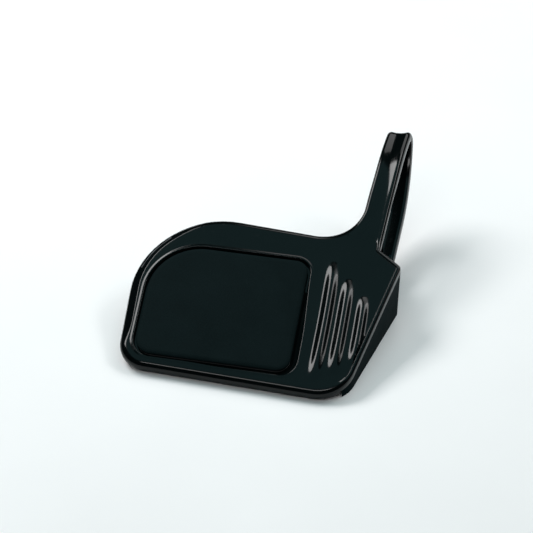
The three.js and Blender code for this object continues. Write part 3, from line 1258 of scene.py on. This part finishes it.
@dataclass
class BackMoulding:
    """The back skin of the blade and of the flexing strip, in one moulding.

    Attributes:
        seam: level of its upper edge.
        pocket: radius of a screw's pocket.
        panel: corners of the shallow panel on the back.
        grooves: u of each bending groove.
        slope: the dome from the rim inwards: distance in and level.
        flex_rise: how much higher the back is on the flexing strip.
        flex_span: u limits between which it rises.
        groove_ends: v at which the bending grooves start, are full, fade and end.
        groove_depth: depth of the bending grooves.
        panel_depth: depth of the ribbed panel.
        rib_pitch: distance between its ribs.
    """

    seam: float = -8.3
    pocket: float = 3.9
    panel: tuple[Corner, ...] = ((-66, -40, 16), (62, -46, 12), (64, 66, 12), (-62, 68, 38))
    grooves: tuple[float, ...] = (97.0, 104.0, 111.0, 118.0)
    slope: tuple[Point2, ...] = (
        (0.0, -8.3), (0.0, -9.6), (0.4, -10.9), (1.3, -12.1), (2.8, -13.1), (4.6, -13.75),
        (6.8, -14.25), (10.0, -15.2), (15.0, -16.7), (20.0, -18.15),
        (24.0, -19.2), (27.0, -19.75), (31.0, -20.0),
    )
    flex_rise: float = 3.5
    flex_span: Point2 = (74, 91)
    groove_ends: tuple[float, float, float, float] = (-58, -50, 58, 66)
    groove_depth: float = 1.3
    panel_depth: float = 0.9
    rib_pitch: float = 14.0

    def floor(self, u: float) -> float:
        """Lowest level the back may have at a place across the blade."""
        return self.slope[-1][1] + self.flex_rise * smooth(u, *self.flex_span)

    def dome(self, depth: float, u: float) -> float:
        """Level of the back at a distance in from the rim.

        Args:
            depth: distance in from the rim.
            u: place across the blade.

        Returns:
            The level.
        """
        profile = np.array(self.slope)
        level = float(np.interp(depth, profile[:, 0], profile[:, 1]))
        return max(level, self.floor(u))

    def surface(self) -> Height:
        """Makes the function that gives the level of the back inside the rings.

        Returns:
            A function of u and v.
        """
        panel = rounded(self.panel, closed=True)

        def level(u: float, v: float) -> float:
            """Level of the back at one point.

            Args:
                u: place across the blade.
                v: place up the slope.

            Returns:
                The level.
            """
            base = self.floor(u)
            gap = float(distances(np.array([[u, v]]), panel)[0])
            if inside((u, v), panel):
                base += self.panel_depth * smooth(gap, 0.5, 3.5)
                rib = 0.5 + 0.5 * math.cos(math.tau * (v + 46) / self.rib_pitch)
                base -= self.panel_depth * smooth(gap, 6, 10) * smooth(rib, 0.62, 0.95)
            for groove in self.grooves:
                across = abs(u - groove) / 1.6
                low, full, fading, high = self.groove_ends
                if across < 1 and low < v < high:
                    ends = smooth(v, low, full) * (1 - smooth(v, fading, high))
                    base += self.groove_depth * ends * math.cos(across * math.pi / 2) ** 2
            return base

        return level

    def rim_path(self) -> np.ndarray:
        """The outer edge: the face outline up to the heel, closed along the heel's wall.

        Returns:
            A closed path in the blade's plane.
        """
        whole = OUTLINE.path()
        kept = [p for p in whole if p[0] < FLEX_STOP - 0.5 and (p[1] < 98 or p[0] < 116.4)]
        low, high = kept[-1], kept[0]
        side = FLEX_STOP - 0.4
        corners = [(side, low[1] + 0.2), (side, 72.0), (116.6, 98.0), (high[0], high[1])]
        wall: list[Point2] = []
        for a, b in zip(corners, corners[1:]):
            steps = max(2, math.ceil(math.dist(a, b) / 4))
            wall.extend(tuple(np.array(a) + (np.array(b) - np.array(a)) * k / steps) for k in range(steps))
        return np.array([tuple(p) for p in kept] + wall)

    def shares(self, path: np.ndarray) -> np.ndarray:
        """How far the rounded edge runs in from each point: 0 along the heel's wall, else 1.

        Args:
            path: the outer edge.

        Returns:
            One share for each point.
        """
        whole = OUTLINE.path()
        gaps = distances(path, whole)
        ends = np.array([(FLEX_STOP - 0.4, -80.0), tuple(path[0])])
        near = np.array([smooth(w, 3.0, 20.0) for w in distances(path, ends)])
        return np.where(gaps > 0.05, 0.0, near)

    def sink(self, piece: bpy.types.Object, screw: BackScrew) -> None:
        """Cuts a screw's pocket, with a chamfered mouth.

        Args:
            piece: the back.
            screw: the screw.
        """
        turn = np.linspace(0, math.tau, 33)[:-1]
        rings = []
        for radius, level in ((self.pocket, screw.level + 2.0), (self.pocket, -60.0)):
            rings += [
                tuple(LEANED.place((screw.u + radius * math.cos(t), screw.v + radius * math.sin(t), level)))
                for t in turn
            ]
        Bench.join(piece, Bench.tube("pocket", rings), "DIFFERENCE")

    def build(self) -> bpy.types.Object:
        """Draws the back and applies its transform to its mesh.

        Returns:
            The finished piece.
        """
        sketch = Sketch()
        path = self.rim_path()
        turned = inward(path, closed=True)
        shares = self.shares(path)
        made = []
        for depth, level in self.slope[:7]:
            flat = path + turned * (depth * shares)[:, None]
            levels = [max(level, self.floor(u)) for u in path[:, 0]]
            made.append(sketch.add(np.column_stack([flat, levels])))
        for a, b in zip(made, made[1:]):
            sketch.strip(a, b, closed=True)
        sketch.cap(made[0])
        inner = self.surface()
        rim = OUTLINE.path()

        def level(u: float, v: float) -> float:
            """Level of the back: its dome or its panel, whichever is higher.

            Args:
                u: place across the blade.
                v: place up the slope.

            Returns:
                The level.
            """
            depth = float(distances(np.array([[u, v]]), rim)[0])
            domed = depth < self.slope[-1][0]
            return max(self.dome(depth, u), inner(u, v)) if domed else inner(u, v)

        grid = np.concatenate([
            field_grid((-104, -84), (92, 122), 2.6),
            field_grid((92, -84), (130, 110), 1.3),
        ])
        sketch.fill(made[-1], [], grid, level, 1.0)
        piece = sketch.build("back_moulding", angle=45)
        for screw in BACK_SCREWS:
            self.sink(piece, screw)
        Bench.closed(piece, 45)
        MOULDED.dress(piece)
        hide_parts("blade_back_skin", "flex_back_skin")
        bend(piece)
        return piece


@dataclass
class Heel:
    """The hollow heel that the paddle stands on, with its foot plate.

    Attributes:
        wall: thickness of the heel's walls.
        back: the box under the loop's foot: u and v limits.
        corner: radius of that box's corners.
        cuts: lowest and highest corners of what is cut away, in the blade's plane.
    """

    wall: float = 2.6
    back: tuple[float, float, float, float] = (119.4, 160.0, 86.0, 112.0)
    corner: float = 7.0
    cuts: tuple[tuple[Point3, Point3], ...] = (
        ((100.0, 95.0, -13.7), (300.0, 300.0, 60.0)),
        ((120.0, -27.0, -14.6), (140.0, 33.0, 0.0)),
        ((149.0, 92.6, -45.0), (300.0, 300.0, 60.0)),
    )

    def plan(self, shrink: float) -> np.ndarray:
        """Plan of the heel's upright walls at the seam, moved inwards.

        Args:
            shrink: how far.

        Returns:
            A closed path in the blade's plane.
        """
        whole = OUTLINE.path()
        left = FLEX_STOP + 0.15 + shrink
        moved = whole + inward(whole, closed=False) * shrink
        kept = [p for p in moved if p[0] > left and p[1] < 99 and not (p[0] < 150 and p[1] > 60)]
        cross = (left, kept[0][1] - 0.4)
        return np.array([(left, 99.0), cross, *[tuple(p) for p in kept], (kept[-1][0], 99.0)])

    def upright(self, corners: np.ndarray, low: float, top: float) -> bpy.types.Object:
        """An upright solid over a plan, cut off by a plane parallel to the face.

        Args:
            corners: plan at the seam level, in the blade's plane.
            low: height of its foot above the ground in mm.
            top: level of its top in the blade's plane.

        Returns:
            The solid.
        """
        rise = (top - SEAM) * MM / (LEANED.turn() @ Vector((0, 0, 1))).z
        seam = [LEANED.place((u, v, SEAM)) for u, v in corners]
        points = [(p.x, p.y, p.z + rise) for p in seam] + [(p.x, p.y, low * MM) for p in seam]
        return Bench.tube("upright", points)

    def tower(self, shrink: float, low: float, top: float) -> bpy.types.Object:
        """The box under the foot of the loop, square to the face and cut level with the ground.

        Args:
            shrink: how far its walls move inwards.
            low: height of its foot above the ground in mm.
            top: level of its top in the blade's plane.

        Returns:
            The solid.
        """
        u0, u1, v0, v1 = self.back
        radius = self.corner - shrink
        corners = [(u0, v0), (u1, v0), (u1, v1), (u0, v1)]
        signs = [(1, 1), (-1, 1), (-1, -1), (1, -1)]
        shape = [(u + su * shrink, v + sv * shrink, radius) for (u, v), (su, sv) in zip(corners, signs)]
        plan = rounded(shape, closed=True, step=9)
        piece = Bench.tube("tower", [
            tuple(LEANED.place((u, v, w))) for w in (top, -120) for u, v in plan
        ])
        Bench.pick(piece)
        bpy.ops.object.mode_set(mode="EDIT")
        bpy.ops.mesh.select_all(action="SELECT")
        bpy.ops.mesh.bisect(
            plane_co=(0, 0, low * MM), plane_no=(0, 0, 1), use_fill=True, clear_inner=True,
        )
        bpy.ops.object.mode_set(mode="OBJECT")
        return piece

    def block(self, low: Point3, high: Point3) -> bpy.types.Object:
        """A box in the blade's plane, for cutting.

        Args:
            low: lowest u, v and w.
            high: highest u, v and w.

        Returns:
            The box.
        """
        plan = [(low[0], low[1]), (high[0], low[1]), (high[0], high[1]), (low[0], high[1])]
        levels = (high[2], low[2])
        return Bench.tube("block", [tuple(LEANED.place((u, v, w))) for w in levels for u, v in plan])

    def build(self) -> bpy.types.Object:
        """Cuts the hollow heel out of its outer form.

        Returns:
            The finished piece.
        """
        top = SEAM - 0.3
        piece = self.upright(self.plan(0), 0, top)
        Bench.join(piece, self.tower(0, 0, top), "UNION")
        hollow = self.upright(self.plan(self.wall), -5, 10)
        Bench.join(hollow, self.tower(self.wall, -5, 10), "UNION")
        Bench.join(piece, hollow, "DIFFERENCE")
        for low, high in self.cuts:
            Bench.join(piece, self.block(low, high), "DIFFERENCE")
        Bench.closed(piece, 40)
        piece.name = "heel_box"
        SATIN.dress(piece)
        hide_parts("heel_shell")
        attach(piece, Side.GRIP.value)
        return piece


@dataclass
class SpringLeaf:
    """The steel leaf across the flexing strip, with its rivet and screw holes.

    Attributes:
        plan: u and v limits.
        top: level of its upper face.
        bottom: level of its lower face.
        hole: radius of its holes.
    """

    plan: tuple[float, float, float, float] = (62.0, 143.0, -26.0, 32.0)
    top: float = -13.1
    bottom: float = -14.3
    hole: float = 2.2

    def build(self) -> bpy.types.Object:
        """Draws the pierced leaf and applies its transform to its mesh.

        Returns:
            The finished piece.
        """
        sketch = Sketch()
        u0, u1, v0, v1 = self.plan
        edge = rounded([(u0, v0, 5), (u1, v0, 5), (u1, v1, 5), (u0, v1, 5)], closed=True)
        turn = np.linspace(0, math.tau, 25)[:-1]
        circle = np.column_stack([np.cos(turn), np.sin(turn)]) * self.hole
        rings = [edge, *[circle + np.array(at) for at in (*RIVETS, *LEAF_SCREWS)]]
        sides = []
        for level in (self.top, self.bottom):
            made = [sketch.add(np.column_stack([r, np.full(len(r), level)])) for r in rings]
            grid = field_grid((u0 + 3, v0 + 3), (u1 - 2, v1 - 2), 4.0)
            sketch.fill(made[0], made[1:], grid, lambda u, v, w=level: w, 1.6)
            sides.append(made)
        for first, second in zip(*sides):
            sketch.strip(first, second, closed=True)
        piece = sketch.build("pierced_spring_leaf", angle=35)
        SPRING.dress(piece)
        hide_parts("spring_leaf")
        bend(piece)
        return piece


class Drive(Enum):
    """The recess in a fastener's head."""

    CROSS = "cross"
    NONE = "none"


@dataclass
class Fastener:
    """A screw or rivet, modelled once and copied to its places, with its head downwards.

    Attributes:
        node: node name without its number.
        head: radius of the head.
        head_depth: depth of the head.
        shank: radius of the shank.
        length: whole length.
        drive: recess in the head.
        places: transform of each copy.
        body: the body they ride on.
        threaded: whether the shank has a thread.
    """

    node: str
    head: float
    head_depth: float
    shank: float
    length: float
    drive: Drive
    places: list[Matrix]
    body: Side
    threaded: bool = True

    def blank(self) -> bpy.types.Object:
        """Head and shank in one, by extruding a disc.

        Returns:
            The solid, standing at the origin.
        """
        bpy.ops.object.select_all(action="DESELECT")
        bpy.ops.mesh.primitive_circle_add(
            vertices=40, radius=(self.head - 0.35) * MM, fill_type="NGON", location=(0, 0, 0),
        )
        piece = bpy.context.object
        bpy.ops.object.mode_set(mode="EDIT")
        bpy.ops.mesh.select_all(action="SELECT")
        self.draw_out(0.35, self.head / (self.head - 0.35))
        self.draw_out(self.head_depth - 0.35, 1.0)
        bpy.ops.mesh.inset(thickness=(self.head - self.shank) * MM)
        steps = max(1, round((self.length - self.head_depth - 1.2) / 0.5)) if self.threaded else 1
        for k in range(steps):
            grow = (0.82 if k % 2 else 1 / 0.82) if self.threaded and k else 1.0
            self.draw_out((self.length - self.head_depth - 1.2) / steps, grow)
        self.draw_out(1.2, 0.45)
        bpy.ops.object.mode_set(mode="OBJECT")
        return Bench.closed(piece, 40)

    def draw_out(self, height: float, grow: float) -> None:
        """Extrudes the selected face upwards and scales it.

        Args:
            height: how far in mm.
            grow: scale of the new face.
        """
        bpy.ops.mesh.extrude_region_move(TRANSFORM_OT_translate={"value": (0, 0, height * MM)})
        bpy.ops.transform.resize(value=(grow, grow, 1))

    def recess(self, piece: bpy.types.Object) -> None:
        """Cuts the drive recess into the head.

        Args:
            piece: the fastener's solid.
        """
        if self.drive is Drive.NONE:
            return
        for turn in (0.0, math.pi / 2):
            bpy.ops.object.select_all(action="DESELECT")
            bpy.ops.mesh.primitive_cube_add(size=1, location=(0, 0, 0), rotation=(0, 0, turn))
            bar = bpy.context.object
            bar.scale = (self.head * 1.1 * MM, 0.9 * MM, 2.0 * MM)
            Bench.settle(bar)
            bpy.ops.object.mode_set(mode="EDIT")
            Bench.choose(bar, lambda centre, normal: normal.z > 0.5)
            bpy.ops.transform.resize(value=(0.6, 0.6, 1))
            bpy.ops.object.mode_set(mode="OBJECT")
            Bench.join(piece, bar, "DIFFERENCE")

    def build(self) -> list[bpy.types.Object]:
        """Makes every copy and hides the nodes they stand for.

        Returns:
            The copies.
        """
        first = self.blank()
        self.recess(first)
        Bench.closed(first, 40)
        pieces = []
        for k, place in enumerate(self.places):
            piece = bpy.data.objects.new(f"{self.node}_detail_{k + 1}", first.data.copy())
            bpy.context.collection.objects.link(piece)
            piece.data.transform(place)
            piece.data.update()
            ZINC.dress(piece)
            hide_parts(f"{self.node}_{k + 1}")
            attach(piece, self.body.value)
            pieces.append(piece)
        bpy.data.objects.remove(first, do_unlink=True)
        return pieces


def square_to_face(u: float, v: float, w: float, over: bool = False) -> Matrix:
    """Transform that stands a fastener on the blade's plane.

    Args:
        u: its place.
        v: its place.
        w: level of its head.
        over: whether its head faces the front instead of the back.

    Returns:
        Transform in metres.
    """
    turn = LEANED.turn()
    flip = Matrix.Rotation(math.pi, 4, "X") if over else Matrix.Identity(4)
    return Matrix.Translation(LEANED.place((u, v, w))) @ turn @ flip


def fasteners() -> list[Fastener]:
    """Every kind of fastener, with the places of its copies.

    Returns:
        The kinds, each with its places.
    """
    floor_screws = []
    for k in range(4):
        low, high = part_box(f"foot_screw_{k + 1}")
        floor_screws.append(Matrix.Translation(((low[0] + high[0]) / 2, (low[1] + high[1]) / 2, low[2])))
    closing = [square_to_face(s.u, s.v, s.level) for s in BACK_SCREWS]
    leaf = [square_to_face(u, v, LEAF_SCREW_TOP, over=True) for u, v in LEAF_SCREWS]
    rivets = [square_to_face(u, v, RIVET_FOOT) for u, v in RIVETS]
    return [
        Fastener("back_screw", 3.5, 1.7, 1.7, 8.0, Drive.CROSS, closing, Side.BLADE),
        Fastener("foot_screw", 3.8, 1.3, 1.8, 14.6, Drive.CROSS, floor_screws, Side.GRIP),
        Fastener("leaf_screw", 3.6, 2.0, 1.8, 12.2, Drive.CROSS, leaf, Side.GRIP),
        Fastener("leaf_rivet", 3.4, 1.4, 1.8, 5.4, Drive.NONE, rivets, Side.BLADE, threaded=False),
    ]


@dataclass
class Inside:
    """The pieces that stay hidden between the skins."""

    foams: tuple[str, ...] = ("pad_foam", "top_foam", "back_foam")

    def build(self) -> list[bpy.types.Object]:
        """Softens the foams' edges and dresses the nodes that are kept.

        Returns:
            The pieces and nodes that were dressed.
        """
        made = []
        for node in self.foams:
            piece = bpy.data.objects.new(f"{node}_cut", bpy.data.objects[node].data.copy())
            bpy.context.collection.objects.link(piece)
            Bench.closed(piece, 50)
            Bench.apply(piece, "BEVEL", width=0.5 * MM, segments=2, limit_method="ANGLE", angle_limit=0.8)
            Bench.closed(piece, 50)
            FOAM.dress(piece)
            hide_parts(node)
            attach(piece, Side.BLADE.value)
            made.append(piece)
        kept = {"core_plate": BOARD, "heel_block": NYLON, "foot_plate": NYLON, "loop_core": SPRING}
        for node, finish in kept.items():
            made.append(finish.dress(bpy.data.objects[node]))
        return made


# ---- studio --------------------------------------------------------------------------------------
@dataclass(frozen=True)
class Softbox:
    """A rectangular soft light that looks at the paddle.

    Attributes:
        azimuth: degrees round the paddle, 0 in front and 90 to the right.
        elevation: degrees above the floor.
        distance: metres.
        size: width and height in metres.
        power: watts.
        tint: colour of the light.
    """

    azimuth: float
    elevation: float
    distance: float
    size: Point2
    power: float
    tint: Point3 = (1.0, 1.0, 1.0)

    def build(self, name: str, aim: Vector) -> bpy.types.Object:
        """Adds the light.

        Args:
            name: the light's name.
            aim: where it points.

        Returns:
            The light object.
        """
        a, e = math.radians(self.azimuth), math.radians(self.elevation)
        away = Vector((math.sin(a) * math.cos(e), -math.cos(a) * math.cos(e), math.sin(e)))
        light = bpy.data.lights.new(name, "AREA")
        light.shape = "RECTANGLE"
        light.size, light.size_y = self.size
        light.energy = self.power
        light.color = self.tint
        box = bpy.data.objects.new(name, light)
        bpy.context.collection.objects.link(box)
        box.location = aim + away * self.distance
        box.rotation_mode = "QUATERNION"
        box.rotation_quaternion = (-away).to_track_quat("-Z", "Y")
        return box


@dataclass
class Studio:
    """Floor, lights and camera.

    Attributes:
        azimuth: camera's angle round the paddle's own axes, in degrees.
        elevation: camera's angle above the plane that the view was taken in.
        tilt: lean of the face against that plane.
        distance: camera to aim point, in metres.
        aim: aim point right of and above the pad's centre as the camera sees it, in metres.
        lens: focal length in mm.
        lights: the softboxes.
        surround: brightness of the room.
    """

    azimuth: float = 10.0
    elevation: float = 33.0
    tilt: float = 24.0
    distance: float = 1.4
    aim: Point2 = (0.0445, 0.0455)
    lens: float = 94.6
    surround: float = 0.02
    lights: tuple[Softbox, ...] = (
        Softbox(0, 90, 1.8, (2.2, 1.8), 6.2, tint=(0.5, 1.0, 1.06)),
        Softbox(-118, 48, 2.2, (1.3, 0.75), 36),
        Softbox(158, 46, 2.2, (1.9, 1.0), 16),
        Softbox(118, 46, 2.2, (1.0, 0.4), 9),
        Softbox(-6, 50, 2.2, (1.4, 0.24), 9),
    )

    def axes(self) -> tuple[Vector, Vector]:
        """Directions to the camera and to its right, in the model's frame.

        Returns:
            The two directions.
        """
        a, e, t = (math.radians(x) for x in (self.azimuth, self.elevation, self.tilt))
        level = Matrix.Rotation(t, 3, "X").transposed()
        back = Vector((math.sin(a) * math.cos(e), -math.cos(a) * math.cos(e), math.sin(e)))
        right = Vector((math.cos(a), math.sin(a), 0))
        turn = LEANED.turn().to_3x3()
        return turn @ level @ back, turn @ level @ right

    def build(self) -> None:
        """Places the floor, the lights and the camera."""
        self.floor()
        back, right = self.axes()
        up = back.cross(right)
        aim = LEANED.place((0, 0, 0)) + right * self.aim[0] + up * self.aim[1]
        for k, light in enumerate(self.lights):
            light.build(f"softbox_{k + 1}", Vector((0, 0, 0.03)))
        world = bpy.data.worlds.new("room")
        world.use_nodes = True
        world.node_tree.nodes["Background"].inputs["Color"].default_value = (1, 1, 1, 1)
        world.node_tree.nodes["Background"].inputs["Strength"].default_value = self.surround
        bpy.context.scene.world = world
        bpy.context.scene.view_settings.view_transform = "Standard"
        lens = bpy.data.cameras.new("camera")
        lens.lens = self.lens
        lens.sensor_width = 36.0
        lens.clip_end = 50.0
        camera = bpy.data.objects.new("camera", lens)
        bpy.context.collection.objects.link(camera)
        facing = Matrix((right, up, back)).transposed().to_4x4()
        camera.matrix_world = Matrix.Translation(aim + back * self.distance) @ facing
        bpy.context.scene.camera = camera

    def floor(self) -> bpy.types.Object:
        """Adds the pale floor.

        Returns:
            The floor.
        """
        bpy.ops.object.select_all(action="DESELECT")
        bpy.ops.mesh.primitive_plane_add(size=14, location=(0, 0, -0.0002))
        floor = bpy.context.object
        floor.name = "studio_floor"
        STUDIO_FLOOR.dress(floor)
        return floor


def report(name: str, pieces: Sequence[bpy.types.Object]) -> None:
    """Logs each piece's number of faces."""
    for piece in pieces:
        LOG.info("%s: %s, %d faces", name, piece.name, len(piece.data.polygons))


def main() -> None:
    """Builds the paddle, then its studio."""
    logging.basicConfig(level=logging.INFO)
    Studio().build()
    report("blade and loop", [FrontMoulding().build(), BackMoulding().build(), RearGrip().build()])
    report("pad", [StrikePad().build()])
    report("heel", [Heel().build()])
    report("leaf", [SpringLeaf().build()])
    for kind in fasteners():
        report("fastener", kind.build())
    report("inside", Inside().build())


if __name__ == "__main__":
    main()
